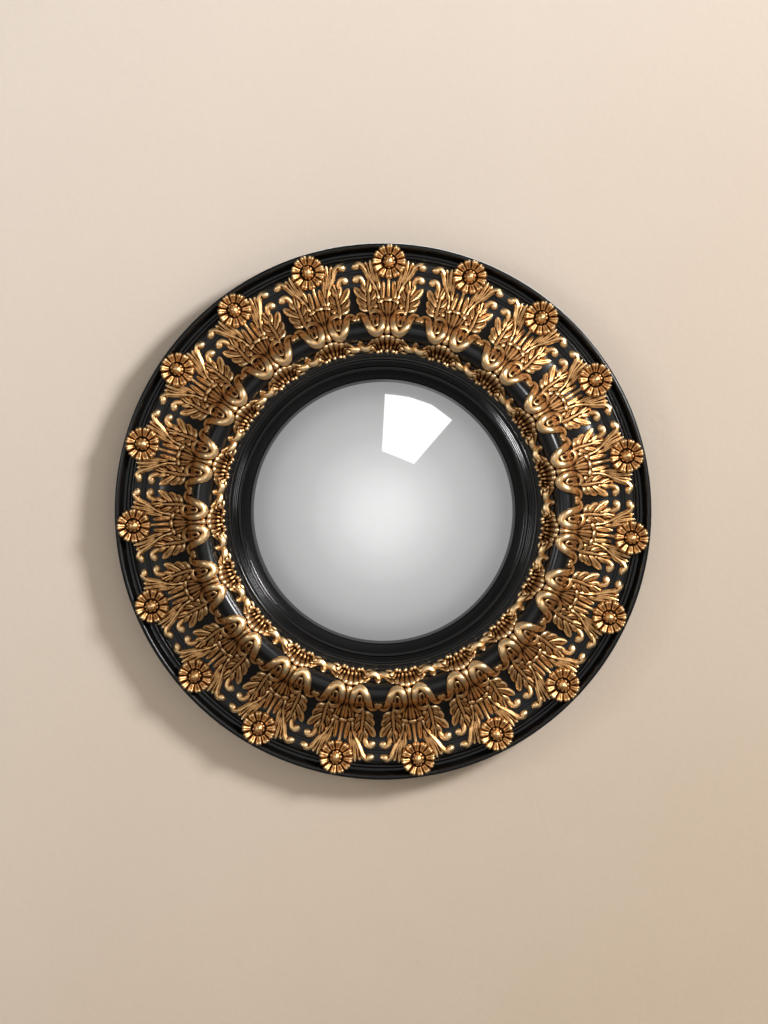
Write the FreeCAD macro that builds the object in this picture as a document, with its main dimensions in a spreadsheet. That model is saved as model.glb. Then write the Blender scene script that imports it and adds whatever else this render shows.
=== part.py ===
import FreeCAD, Part
import math
import os
import re
import Sketcher

# Round convex mirror: a turned black frame that carries nineteen cast rosettes and crests.
# Every piece is drawn lying on its back: x runs right, y runs up the wall and z is the
# height above the wall. ON_WALL then stands it up, so that its front faces -Y.

SIZES = [
    # the bowed mirror plate
    ("sight_radius", 99.0, "radius of the glass that shows"),
    ("glass_lap", 6.0, "edge of the glass hidden behind the slip"),
    ("bow_radius", 260.0, "radius of the bowed front of the glass"),
    ("glass_sheet", 3.0, "thickness of the glass"),
    ("sight_height", 28.0, "height of the glass at the sight edge"),
    # the slip, a reeded ring round the glass
    ("bevel_width", 6.0, "slope beside the glass"),
    ("bevel_top", 38.0, "height of the slope's outer edge"),
    ("reed_count", 2, "bold reeds round the slip"),
    ("reed_width", 3.9, "width of one reed"),
    ("reed_rise", 1.3, "height of a reed above its valleys"),
    ("fillet_width", 5.0, "plain fillet outside the reeds"),
    # the outer frame
    ("channel_width", 7.9, "hollow between the slip and the cushion moulding"),
    ("seat_height", 36.0, "height of the channel and of the cushion's seat"),
    ("cushion_width", 17.0, "width of the cushion moulding"),
    ("cushion_rise", 14.0, "height of the cushion above its seat"),
    ("cushion_facets", 4, "flats that the cushion's curve is turned in"),
    ("cavetto_width", 27.0, "hollow slope outside the cushion"),
    ("cavetto_hollow", 1.5, "power that bends the slope; 1 is straight"),
    ("cavetto_facets", 3, "flats that the hollow is turned in"),
    ("ground_height", 13.5, "height of the plain ground at the foot of the slope"),
    ("ground_width", 23.0, "width of the plain ground, up to the rim"),
    ("rim_width", 7.0, "rounded outer rim"),
    ("rim_rise", 8.0, "height of the rim's crown above the ground"),
    ("rim_facets", 3, "flats that the rim's curve is turned in"),
    ("land_width", 36.0, "width of the ring at the back, which lies on the wall"),
    ("recess_depth", 6.0, "hollow inside that ring, for the buttons and the hanger"),
    # the backing
    ("board_sheet", 4.0, "thickness of the backing board"),
    ("block_count", 8, "packing blocks behind the edge of the glass"),
    ("block_width", 9.0, "width of a block, from the glass's edge inwards"),
    ("block_length", 16.0, "length of a block along the glass's edge"),
    # turn buttons and screws
    ("button_count", 4, "turn buttons round the board"),
    ("button_turn", 45.0, "angle of the first button, clockwise from the top"),
    ("button_width", 11.0, "width of a button"),
    ("button_reach", 20.0, "length from the screw to the button's tip"),
    ("button_tail", 7.0, "length from the screw to the button's tail"),
    ("button_sheet", 2.2, "thickness of a button"),
    ("button_inset", 10.0, "distance of the screw from the frame's bore"),
    ("button_corner", 3.0, "clipped corner of a button"),
    ("shank_radius", 1.6, "radius of a screw's shank"),
    ("shank_length", 11.0, "length of a screw in the wood"),
    ("shank_point", 3.0, "length of a screw's point"),
    ("head_radius", 3.4, "radius of a screw head"),
    ("head_sheet", 1.5, "height of a screw head"),
    ("head_top", 2.0, "radius of the flat on a screw head"),
    # the hanger
    ("strap_inset", 3.0, "distance of the strap from the frame's bore"),
    ("strap_length", 21.0, "strap from its lower end to the barrel's axis"),
    ("strap_width", 14.0, "width of the strap"),
    ("strap_sheet", 1.5, "thickness of the strap"),
    ("strap_shoulder", 5.0, "barrel's axis to where the strap widens"),
    ("strap_margin", 4.5, "lower screw from the strap's end"),
    ("strap_pitch", 9.0, "distance between the strap's screws"),
    ("barrel_width", 9.0, "width of the strap's rolled end"),
    ("barrel_wall", 1.0, "wall of the rolled end"),
    ("wire_radius", 1.5, "wire of the hanging ring"),
    ("ring_width", 16.0, "ring across the centre lines of its sides"),
    ("ring_side", 8.0, "straight side of the ring"),
    ("ring_facets", 6, "bends round the ring's top"),
    # the castings
    ("unit_count", 19, "rosettes, and crests, round the frame"),
    ("unit_turn", 1.4, "angle of the first pair, clockwise from the top"),
    ("petal_count", 12, "petals of a rosette"),
    ("rosette_inset", 13.8, "rosette's centre from the frame's outer edge"),
    ("rosette_radius", 13.0, "rosette's centre to a petal's tip"),
    ("petal_notch", 1.8, "depth of the notch between two petals"),
    ("petal_crown", 8.4, "rosette's centre to a petal's highest point"),
    ("petal_rise", 4.6, "height of the petals"),
    ("boss_radius", 4.5, "foot under the rosette"),
    ("bud_radius", 3.4, "radius of the bud"),
    ("bud_sink", 2.4, "bud's root below the petals' highest points"),
    ("bud_rise", 3.0, "height of the bud above its root"),
    ("crest_width", 50.0, "crest across its widest leaves"),
    ("crest_rise", 5.0, "greatest height of a crest above the moulding"),
    # fits
    ("seat_gap", 0.3, "gap under the rosettes and round the slip and the glass"),
    ("crest_gap", 0.6, "gap under the crests' flat facets, so that they clear the round mouldings"),
    ("slide_gap", 0.2, "gap above and below a piece that turns"),
    ("turn_gap", 0.06, "radial gap round a screw or the ring's bar"),
]
ALIASES = {alias for alias, _, _ in SIZES}

# Places that follow from the sizes: radii from the centre and heights above the wall.
GLASS_EDGE = "(sight_radius + glass_lap)"
REED_START = "(sight_radius + bevel_width)"
REED_END = f"({REED_START} + reed_count * reed_width)"
SLIP_EDGE = f"({REED_END} + fillet_width)"
BORE = f"({SLIP_EDGE} + seat_gap)"
CUSHION_START = f"({BORE} + channel_width)"
CUSHION_END = f"({CUSHION_START} + cushion_width)"
CAVETTO_END = f"({CUSHION_END} + cavetto_width)"
GROUND_END = f"({CAVETTO_END} + ground_width)"
RIM_END = f"({GROUND_END} + rim_width)"
BOARD_FRONT = "(recess_depth + board_sheet)"
BOW_CENTRE = "(sight_height - sqrt(bow_radius^2 - sight_radius^2))"
BACK_RADIUS = "(bow_radius - glass_sheet)"
BUTTON_PIVOT = f"({BORE} + button_inset)"
BUTTON_FRONT = "(recess_depth - slide_gap)"
BUTTON_BACK = f"({BUTTON_FRONT} - button_sheet)"
STRAP_END = f"({BORE} + strap_inset)"
BARREL_AXIS = f"({STRAP_END} + strap_length)"
BARREL_BORE = "(wire_radius + turn_gap)"
BARREL_RADIUS = f"({BARREL_BORE} + barrel_wall)"
BARREL_HEIGHT = f"(recess_depth - {BARREL_RADIUS})"
ROSETTE_CENTRE = f"({RIM_END} - rosette_inset)"

V = FreeCAD.Vector
ON_WALL = FreeCAD.Placement(V(0, 0, 0), FreeCAD.Rotation(V(1, 0, 0), 90))
PILOT_SIDES = 8
SCREW_SIDES = 6
WIRE_SIDES = 8
SUBPARTS = []

doc = FreeCAD.newDocument("convex_mirror")
sheet = doc.addObject("Spreadsheet::Sheet", "Sizes")
for row, (alias, value, meaning) in enumerate(SIZES, start=1):
    sheet.set(f"A{row}", meaning)
    sheet.set(f"B{row}", str(value))
    sheet.setAlias(f"B{row}", alias)
doc.recompute()


def bound(expression):
    """The expression with the sheet's name before each of its aliases."""
    return re.sub(r"[a-z_]+", lambda word: f"Sizes.{word[0]}" if word[0] in ALIASES else word[0], expression)


def size(expression):
    """The value of an expression that is written in the sheet's aliases."""
    return float(doc.Sizes.evalExpression(bound(expression)))


def turned_to(angle):
    """Placement on the wall, turned clockwise from the top as seen from the front."""
    return ON_WALL.multiply(FreeCAD.Placement(V(0, 0, 0), FreeCAD.Rotation(V(0, 0, 1), -angle)))


def keep(piece, placement=ON_WALL):
    """Stand a finished piece on the wall and list it as a sub-part."""
    piece.Placement = placement
    SUBPARTS.append(piece)
    return piece


def add(kind, name, **bindings):
    """A document object whose properties are bound to expressions of the sheet's aliases."""
    piece = doc.addObject(kind, name)
    piece.Label = name
    for prop, expression in bindings.items():
        piece.setExpression(prop.replace("__", "."), bound(expression))
    return piece


def add_sketch(body, name, plane, height=None):
    """An empty sketch on one of the body's origin planes, lifted to a height."""
    sketch = body.newObject("Sketcher::SketchObject", name)
    support = next(item for item in body.Origin.OriginFeatures if item.Role == plane)
    sketch.AttachmentSupport = [(support, "")]
    sketch.MapMode = "FlatFace"
    if height:
        sketch.setExpression("AttachmentOffset.Base.z", bound(height))
    return sketch


def tie(sketch, kind, index, place, expression):
    """Hold one point of the sketch at a distance from its origin."""
    if expression == "0":
        axis = -2 if kind == "DistanceX" else -1
        sketch.addConstraint(Sketcher.Constraint("PointOnObject", index, place, axis))
        return
    value = size(expression)
    number = sketch.addConstraint(Sketcher.Constraint(kind, -1, 1, index, place, value))
    sketch.setExpression(f"Constraints[{number}]", bound(expression))


def draw_outline(sketch, outline):
    """Closed outline of straight edges through points given as pairs of expressions."""
    corners = [V(size(across), size(up), 0) for across, up in outline]
    edges = []
    for start, end in zip(corners, corners[1:] + corners[:1]):
        edges.append(sketch.addGeometry(Part.LineSegment(start, end)))
    for edge, after in zip(edges, edges[1:] + edges[:1]):
        sketch.addConstraint(Sketcher.Constraint("Coincident", edge, 2, after, 1))
    for edge, (across, up) in zip(edges, outline):
        tie(sketch, "DistanceX", edge, 1, across)
        tie(sketch, "DistanceY", edge, 1, up)


def turned_body(name, outline):
    """Body turned about the mirror's axis from an outline of (radius, height) pairs."""
    body = add("PartDesign::Body", name)
    sketch = add_sketch(body, name + "_profile", "XZ_Plane")
    draw_outline(sketch, outline)
    turning = body.newObject("PartDesign::Revolution", name + "_turning")
    turning.Profile = (sketch, [""])
    turning.ReferenceAxis = (sketch, ["V_Axis"])
    turning.Angle = 360
    doc.recompute()
    return body


def padded_body(name, outline, low, thickness):
    """Body of one flat outline of (x, y) pairs, raised from a height by a thickness."""
    body = add("PartDesign::Body", name)
    sketch = add_sketch(body, name + "_outline", "XY_Plane", low)
    draw_outline(sketch, outline)
    pad = body.newObject("PartDesign::Pad", name + "_sheet")
    pad.Profile = (sketch, [""])
    pad.setExpression("Length", bound(thickness))
    doc.recompute()
    return body


def draw_circle(sketch, radius):
    """Circle about the sketch's origin."""
    circle = sketch.addGeometry(Part.Circle(V(0, 0, 0), V(0, 0, 1), size(radius)))
    sketch.addConstraint(Sketcher.Constraint("Coincident", circle, 3, -1, 1))
    number = sketch.addConstraint(Sketcher.Constraint("Radius", circle, size(radius)))
    sketch.setExpression(f"Constraints[{number}]", bound(radius))


def drill(body, name, places, radius, depth):
    """Many-sided holes that clear a radius, at (x, y) places, from the wall's plane to a depth."""
    sketch = add_sketch(body, name + "_holes", "XY_Plane")
    corner_radius = f"{radius} / cos({180 / PILOT_SIDES} deg)"
    turns = [f"{360 * (corner + 0.5) / PILOT_SIDES} deg" for corner in range(PILOT_SIDES)]
    for across, up in places:
        draw_outline(sketch, [(f"{across} + {corner_radius} * cos({turn})",
                               f"{up} + {corner_radius} * sin({turn})") for turn in turns])
    return cut_pocket(body, name, sketch, depth)


def cut_pocket(body, name, sketch, depth):
    """Pocket of a sketch on the wall's plane, up to a depth."""
    pocket = body.newObject("PartDesign::Pocket", name)
    pocket.Profile = (sketch, [""])
    pocket.Reversed = True
    pocket.setExpression("Length", bound(depth))
    before = pocket.BaseFeature.Shape.Volume
    doc.recompute()
    assert pocket.Shape.Volume < before, f"{name} cuts nothing"
    return pocket


def arc_outline(facets, start, end, across, up):
    """Points at equal angles along an arc, worked out by two formulas of the angle."""
    steps = [start + (end - start) * step / facets for step in range(facets + 1)]
    return [(across(f"{angle} deg"), up(f"{angle} deg")) for angle in steps]


# ---------------------------------------------------------------- the turned rings

def cushion_outline():
    """Half-oval section of the cushion moulding."""
    return arc_outline(
        int(size("cushion_facets")), 0, 180,
        lambda angle: f"{CUSHION_START} + cushion_width / 2 * (1 - cos({angle}))",
        lambda angle: f"seat_height + cushion_rise * sin({angle})")


def frame_front():
    """Front of the outer frame, from the cushion's seat out to the side of the rim."""
    facets = int(size("cavetto_facets"))
    cavetto = []
    for step in range(facets + 1):
        left = 1 - step / facets
        cavetto.append((f"{CAVETTO_END} - {left} * cavetto_width",
                        f"ground_height + (seat_height - ground_height) * {left}^cavetto_hollow"))
    rim = arc_outline(
        int(size("rim_facets")), 0, 180,
        lambda angle: f"{GROUND_END} + rim_width / 2 * (1 - cos({angle}))",
        lambda angle: f"ground_height + rim_rise * sin({angle})")
    return cavetto + rim


def make_back_ring():
    """Ring glued on the frame's back: it lies on the wall and leaves room for the hanger."""
    recess_edge = f"{RIM_END} - land_width"
    return keep(turned_body("back_ring", [
        (RIM_END, "0"),
        (recess_edge, "0"),
        (recess_edge, "recess_depth"),
        (RIM_END, "recess_depth"),
    ]))


def make_outer_frame():
    """Turned wooden frame, bored for the slip and the board."""
    body = turned_body("outer_frame", [(BORE, "seat_height")] + frame_front() + [
        (RIM_END, "recess_depth"),
        (BORE, "recess_depth"),
    ])
    depth = "recess_depth + shank_length + slide_gap"
    radius = "(shank_radius + turn_gap)"
    pivot = (f"{BUTTON_PIVOT} * sin(button_turn * 1 deg)", f"{BUTTON_PIVOT} * cos(button_turn * 1 deg)")
    pilot = drill(body, "button_pilots", [pivot], radius, depth)
    ring = body.newObject("PartDesign::PolarPattern", "button_pilot_ring")
    ring.Originals = [pilot]
    ring.Axis = (body.Origin.OriginFeatures[2], [""])
    ring.Angle = 360
    ring.setExpression("Occurrences", bound("button_count"))
    body.Tip = ring
    doc.recompute()
    drill(body, "strap_pilots", strap_screw_places(), radius, depth)
    return keep(body)


def make_cushion():
    """Half-oval black moulding that carries the scrolls, glued on its seat."""
    return keep(turned_body("cushion_moulding", cushion_outline()))


def make_slip():
    """Reeded ring glued in the frame's bore, whose lip holds the glass from in front."""
    reeds = []
    for reed in range(int(size("reed_count"))):
        reeds.append((f"{REED_START} + {reed + 0.5} * reed_width", "bevel_top + reed_rise"))
        reeds.append((f"{REED_START} + {reed + 1} * reed_width", "bevel_top"))
    glass_face = f"{BOW_CENTRE} + sqrt(bow_radius^2 - {GLASS_EDGE}^2)"
    return keep(turned_body("reeded_slip", [
        ("sight_radius", "sight_height + slide_gap"),
        (REED_START, "bevel_top"),
    ] + reeds + [
        (SLIP_EDGE, "bevel_top"),
        (SLIP_EDGE, BOARD_FRONT),
        (f"{GLASS_EDGE} + seat_gap", BOARD_FRONT),
        (f"{GLASS_EDGE} + seat_gap", f"{glass_face} + slide_gap"),
    ]))


# ---------------------------------------------------------------- glass and backing

def make_glass():
    """Bowed glass of even thickness: two balls about one centre, trimmed by a cylinder."""
    balls = []
    for name, radius in (("glass_front", "bow_radius"), ("glass_back", BACK_RADIUS)):
        ball = add("Part::Sphere", name, Radius=radius, Placement__Base__z=BOW_CENTRE)
        # the ball's poles lie off to the side, so that they don't crowd the dome's middle
        ball.Placement.Rotation = FreeCAD.Rotation(V(0, 1, 0), 90)
        balls.append(ball)
    trim = add("Part::Cylinder", "glass_trim", Radius=GLASS_EDGE, Height="bow_radius")
    dome = add("Part::Common", "glass_dome")
    dome.Base, dome.Tool = balls[0], trim
    glass = add("Part::Cut", "convex_glass")
    glass.Base, glass.Tool = dome, balls[1]
    doc.recompute()
    return keep(glass)


def make_backing():
    """Board behind the slip, and the cork blocks that pack the glass forward from it."""
    keep(turned_body("backing_board", [
        ("0", "recess_depth"),
        (SLIP_EDGE, "recess_depth"),
        (SLIP_EDGE, BOARD_FRONT),
        ("0", BOARD_FRONT),
    ]))
    section = [(GLASS_EDGE, BOARD_FRONT)]
    for radius in (GLASS_EDGE, f"({GLASS_EDGE} - block_width)"):
        section.append((radius, f"{BOW_CENTRE} + sqrt({BACK_RADIUS}^2 - {GLASS_EDGE}^2) - slide_gap"))
    section.append((section[-1][0], BOARD_FRONT))
    corners = [V(-size("block_length") / 2, size(radius), size(height)) for radius, height in section]
    block = Part.Face(Part.makePolygon(corners + corners[:1])).extrude(V(size("block_length"), 0, 0))
    # a block's outer face is straight, so it stands back from the glass's round edge
    block.translate(V(0, -size("block_length") ** 2 / (8 * size(GLASS_EDGE)), 0))
    count = int(size("block_count"))
    blocks = []
    for number in range(count):
        turned = block.copy()
        turned.rotate(V(0, 0, 0), V(0, 0, 1), number * 360 / count)
        blocks.append(turned)
    group = add("Part::Feature", "packing_blocks")
    group.Shape = Part.makeCompound(blocks)
    keep(group)


# ---------------------------------------------------------------- buttons and screws

def screw_shape(under_head):
    """Plain screw that points away from the wall; its head's seat is a height."""
    seat, tip = size(under_head), size("recess_depth + shank_length")
    rings = []
    for radius, height in (("head_top", seat - size("head_sheet")), ("head_radius", seat),
                           ("shank_radius", seat), ("shank_radius", tip - size("shank_point"))):
        rings.append(circle_points(SCREW_SIDES, size(radius), height))
    faces = [tuple(rings[0])] + fan(rings[-1], V(0, 0, tip))
    for first, second in zip(rings, rings[1:]):
        faces += band(first, second)
    return faceted(faces)


def screw_group(name, screw, places):
    """One sub-part of equal screws, each a solid of its own, at (x, y) places."""
    solids = []
    for x, y in places:
        solid = screw.copy()
        solid.translate(V(x, y, 0))
        solids.append(solid)
    group = add("Part::Feature", name)
    group.Shape = Part.makeCompound(solids)
    return keep(group)


def make_buttons():
    """Turn buttons that hold the board in, each on its own screw."""
    half, reach, tail = "button_width / 2", "-button_reach", "button_tail"
    inner_half = "button_width / 2 - button_corner"
    outline = [
        (f"-({inner_half})", reach), (inner_half, reach),
        (half, f"{reach} + button_corner"), (half, f"{tail} - button_corner"),
        (inner_half, tail), (f"-({inner_half})", tail),
        (f"-({half})", f"{tail} - button_corner"), (f"-({half})", f"{reach} + button_corner"),
    ]
    count = int(size("button_count"))
    pivot = V(0, size(BUTTON_PIVOT), 0)
    places = []
    for number in range(count):
        angle = size("button_turn") + number * 360 / count
        name = f"turn_button_{number + 1}"
        body = padded_body(name, outline, BUTTON_BACK, "button_sheet")
        hole = add_sketch(body, f"{name}_hole_outline", "XY_Plane")
        draw_circle(hole, "shank_radius + turn_gap")
        cut_pocket(body, f"{name}_hole", hole, BUTTON_FRONT)
        placement = turned_to(angle)
        keep(body, placement.multiply(FreeCAD.Placement(pivot, FreeCAD.Rotation())))
        places.append((pivot.y * math.sin(math.radians(angle)), pivot.y * math.cos(math.radians(angle))))
    screw_group("button_screws", screw_shape(f"{BUTTON_BACK} - slide_gap"), places)


# ---------------------------------------------------------------- the hanger

def strap_screw_places():
    """Middle line of the strap: its lower and its upper screw."""
    lower = f"{STRAP_END} + strap_margin"
    return [("0", lower), ("0", f"{lower} + strap_pitch")]


def make_hanger():
    """Strap with a rolled end, the wire ring that swings in it, and its two screws."""
    half, neck = "strap_width / 2", "barrel_width / 2"
    shoulder, barrel_foot = f"{BARREL_AXIS} - strap_shoulder", f"{BARREL_AXIS} - {BARREL_RADIUS}"
    plate = padded_body("strap_plate", [
        (f"-({half})", STRAP_END), (half, STRAP_END), (half, shoulder), (neck, barrel_foot),
        (neck, BARREL_AXIS), (f"-({neck})", BARREL_AXIS), (f"-({neck})", barrel_foot),
        (f"-({half})", shoulder),
    ], "recess_depth - strap_sheet", "strap_sheet")
    drill(plate, "strap_holes", strap_screw_places(), "(shank_radius + turn_gap)", "recess_depth")
    along_x = FreeCAD.Rotation(V(0, 1, 0), 90)
    rolls = []
    for name, radius in (("barrel_roll", BARREL_RADIUS), ("barrel_bore", BARREL_BORE)):
        roll = add("Part::Cylinder", name, Radius=radius, Height="barrel_width",
                   Placement__Base__x="-barrel_width / 2", Placement__Base__y=BARREL_AXIS,
                   Placement__Base__z=BARREL_HEIGHT)
        roll.Placement.Rotation = along_x
        rolls.append(roll)
    blank = add("Part::Fuse", "strap_blank")
    blank.Base, blank.Tool = plate, rolls[0]
    strap = add("Part::Cut", "hanger_strap")
    strap.Base, strap.Tool = blank, rolls[1]
    doc.recompute()
    keep(strap)

    ring = add("Part::Feature", "hanging_ring")
    ring.Shape = ring_shape()
    keep(ring)

    places = [(size(x), size(y)) for x, y in strap_screw_places()]
    screw_group("strap_screws", screw_shape("recess_depth - strap_sheet"), places)


def ring_shape():
    """Wire ring: a round bar in the barrel, two sides and a bent top, in mitred lengths."""
    wire, half, side = size("wire_radius"), size("ring_width") / 2, size("ring_side")
    height, axis = size(BARREL_HEIGHT), size(BARREL_AXIS)
    facets = int(size("ring_facets"))
    bends = [math.pi * step / facets for step in range(facets + 1)]
    top = [V(half * math.cos(turn), axis + side + half * math.sin(turn), height) for turn in bends]
    path = [V(0, axis, height), V(half, axis, height)] + top + [V(-half, axis, height), V(0, axis, height)]
    spine = Part.makePolygon(path)
    corners = [V(0, axis + point.x, height + point.y) for point in circle_points(WIRE_SIDES, wire, 0, 0.5)]
    section = Part.makePolygon(corners + corners[:1])
    right_corners = 1
    loop = spine.makePipeShell([section], True, False, right_corners)
    bar = Part.makeCylinder(wire, 2 * half, V(-half, axis, height), V(1, 0, 0))
    return loop.fuse(bar).removeSplitter()


# ---------------------------------------------------------------- the castings

def faceted(faces):
    """Solid closed by flat faces, each given by its corners."""
    shell = Part.Shell([Part.Face(Part.makePolygon(list(corners) + [corners[0]])) for corners in faces])
    shell.sewShape()
    solid = Part.Solid(shell)
    solid.fix(1e-6, 1e-6, 1e-6)
    if solid.Volume < 0:
        solid.reverse()
    return solid


def fan(ring, apex):
    """Triangles from a closed ring of points to one point."""
    return [(ring[i], ring[(i + 1) % len(ring)], apex) for i in range(len(ring))]


def band(first, second):
    """Triangles between two closed rings of as many points."""
    triangles = []
    for i in range(len(first)):
        after = (i + 1) % len(first)
        triangles.append((first[i], first[after], second[i]))
        triangles.append((first[after], second[after], second[i]))
    return triangles


def prism(sides, radius, low, high):
    """Faces of an upright prism."""
    bottom, top = circle_points(sides, radius, low), circle_points(sides, radius, high)
    return band(bottom, top) + [tuple(bottom), tuple(top)]


def circle_points(count, radius, height, turn=0.0):
    """Points round the z axis; turn is in steps of the circle."""
    angles = [2 * math.pi * (i + turn) / count for i in range(count)]
    return [V(radius * math.sin(angle), radius * math.cos(angle), height) for angle in angles]


def rosette_shape():
    """Rosette of ridged petals round a bud, on a square foot that reaches down to the ground."""
    petals = int(size("petal_count"))
    low = size("ground_height + rim_rise + seat_gap")
    foot = size("ground_height + seat_gap")
    crown = low + size("petal_rise")
    root = crown - size("bud_sink")
    tips = circle_points(petals, size("rosette_radius"), low)
    notches = circle_points(petals, size("rosette_radius - petal_notch"), low, 0.5)
    ridges = circle_points(petals, size("petal_crown"), crown)
    outline = [point for pair in zip(tips, notches) for point in pair]
    bud = circle_points(petals // 2, size("bud_radius"), root)
    faces = [tuple(outline)] + fan(bud, V(0, 0, root + size("bud_rise")))
    for i in range(petals):
        after = (i + 1) % petals
        faces.append((tips[i], notches[i], ridges[i]))
        faces.append((notches[i], tips[after], ridges[after]))
        faces.append((notches[i], ridges[after], ridges[i]))
        faces.append((ridges[i], ridges[after], bud[(i + 1) // 2 % len(bud)]))
    for i in range(len(bud)):
        faces.append((bud[i], bud[(i + 1) % len(bud)], ridges[2 * i + 1]))
    boss = faceted(prism(4, size("boss_radius"), foot, low + size("seat_gap")))
    return faceted(faces).fuse(boss).removeSplitter()


class Moulding:
    """Front of the slip, the frame and the cushion, for what is seated on it."""

    def __init__(self):
        outline = [(BORE, "seat_height"), (CUSHION_START, "seat_height")] + cushion_outline() + frame_front()
        self.points = [(size(radius), size(height)) for radius, height in outline]
        marks = (BORE, CUSHION_START, CUSHION_END, CAVETTO_END, GROUND_END)
        self.marks = [size(mark) for mark in marks]

    def radius(self, place):
        """Radius of a place counted in bands: 0 to 1 the channel, 1 to 2 the cushion, and so on."""
        number = min(int(place), len(self.marks) - 2)
        start, end = self.marks[number], self.marks[number + 1]
        return start + (end - start) * (place - number)

    def height(self, radius):
        """Height of the front face at a radius."""
        found = 0.0
        for (r1, z1), (r2, z2) in zip(self.points, self.points[1:]):
            if r1 <= radius <= r2 and r2 > r1:
                found = max(found, z1 + (z2 - z1) * (radius - r1) / (r2 - r1))
        return found

    def seat(self, x, y):
        """Height at which a crest's back clears the moulding, whichever way it falls there."""
        return max(self.height(y), self.height(math.hypot(x, y))) + size("crest_gap")


# Rows of the crest, from the fan over the scrolls to the spread leaves. Each has its place along
# the moulding, its half width, then distance and height of the side ridges, distance and height
# of the valleys inside them, and height of the middle: shares of the crest's half width and rise.
CREST_ROWS = [
    (0.55, 0.74, 0.54, 0.45, 0.38, 0.20, 0.85),  # fan and swags
    (1.12, 0.46, 0.33, 0.55, 0.20, 0.25, 0.85),  # brow of the fan
    (1.50, 0.58, 0.33, 1.15, 0.13, 0.20, 0.35),  # heads of the scrolls
    (1.85, 0.66, 0.36, 1.10, 0.12, 0.25, 0.35),
    (2.10, 0.88, 0.40, 0.75, 0.16, 0.30, 0.60),  # their beaks
    (2.25, 0.54, 0.34, 0.60, 0.24, 0.40, 0.95),  # calyx
    (2.50, 0.94, 0.58, 0.85, 0.36, 0.30, 1.05),  # side leaves
    (2.78, 1.00, 0.60, 0.95, 0.30, 0.25, 0.55),
    (3.03, 0.68, 0.52, 0.80, 0.20, 0.20, 0.45),  # tendrils and stalk
]
CREST_TIPS = (0.0, 3.3)  # places of the fan's foot and of the topmost leaf


def crest_shape():
    """Acanthus crest: one cast sheet of three ridges and two valleys, which follows the moulding."""
    moulding = Moulding()
    half, rise = size("crest_width / 2"), size("crest_rise")
    sections = []
    for place, edge, ridge, ridge_rise, valley, valley_rise, middle_rise in CREST_ROWS:
        y = moulding.radius(place)
        section = [(-edge, 0), (edge, 0), (ridge, ridge_rise), (valley, valley_rise),
                   (0, middle_rise), (-valley, valley_rise), (-ridge, ridge_rise)]
        points = []
        for across, height in section:
            x = across * half
            points.append(V(x, y, moulding.seat(x, y) + height * rise))
        sections.append(points)
    ends = [moulding.radius(place) for place in CREST_TIPS]
    foot, top = [V(0, y, moulding.seat(0, y)) for y in ends]
    faces = fan(sections[0], foot) + fan(sections[-1], top)
    for first, second in zip(sections, sections[1:]):
        faces += band(first, second)
    return faceted(faces)


def make_castings():
    """A rosette and a crest for each unit, all cast from the same two shapes."""
    rosette, crest = rosette_shape(), crest_shape()
    out = FreeCAD.Placement(V(0, size(ROSETTE_CENTRE), 0), FreeCAD.Rotation())
    for number in range(int(size("unit_count"))):
        placement = turned_to(size("unit_turn") + number * 360 / size("unit_count"))
        flower = add("Part::Feature", f"rosette_{number + 1:02d}")
        flower.Shape = rosette
        keep(flower, placement.multiply(out))
        leaf = add("Part::Feature", f"acanthus_crest_{number + 1:02d}")
        leaf.Shape = crest
        keep(leaf, placement)


make_back_ring()
make_outer_frame()
make_cushion()
make_slip()
make_glass()
make_backing()
make_buttons()
make_hanger()
make_castings()
doc.recompute()

for piece in doc.Objects:
    assert "Invalid" not in piece.State and "Error" not in piece.State, f"{piece.Name}: {piece.State}"
for piece in SUBPARTS:
    assert not piece.Shape.isNull() and piece.Shape.isValid(), f"{piece.Label} has a bad shape"

os.makedirs("parts", exist_ok=True)
for piece in SUBPARTS:
    piece.Shape.exportStep(f"parts/{piece.Label}.step")
print(f"{len(SUBPARTS)} sub-parts written")
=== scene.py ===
import math

import bmesh
import bpy
import numpy as np
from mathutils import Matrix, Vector
from mathutils.geometry import intersect_line_sphere


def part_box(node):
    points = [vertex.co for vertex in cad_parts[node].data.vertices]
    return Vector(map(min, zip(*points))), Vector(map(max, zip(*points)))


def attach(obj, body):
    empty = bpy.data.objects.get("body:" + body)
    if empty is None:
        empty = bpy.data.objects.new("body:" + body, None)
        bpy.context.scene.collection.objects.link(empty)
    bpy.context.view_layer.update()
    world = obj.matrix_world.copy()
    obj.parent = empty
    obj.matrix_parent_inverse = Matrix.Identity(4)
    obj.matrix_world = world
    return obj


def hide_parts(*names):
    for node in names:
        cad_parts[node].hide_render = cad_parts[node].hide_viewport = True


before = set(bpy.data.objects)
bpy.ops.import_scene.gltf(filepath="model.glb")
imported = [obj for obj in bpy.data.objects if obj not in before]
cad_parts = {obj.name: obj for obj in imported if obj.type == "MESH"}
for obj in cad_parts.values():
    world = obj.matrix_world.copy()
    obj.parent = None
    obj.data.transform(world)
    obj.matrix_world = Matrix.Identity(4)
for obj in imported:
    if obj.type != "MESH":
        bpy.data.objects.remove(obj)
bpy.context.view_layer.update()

# Round convex mirror on a wall. The mirror's sizes are in millimetres, as radii from its axis and
# heights above the wall, and are turned into metres where a mesh is made. In the row frame the
# wall is the plane y = 0, the front faces -Y and +Z is up the wall.
MM = 0.001


def reach(node):
    """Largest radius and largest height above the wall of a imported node."""
    low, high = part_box(node)
    return high[0] / MM, -low[1] / MM


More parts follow.
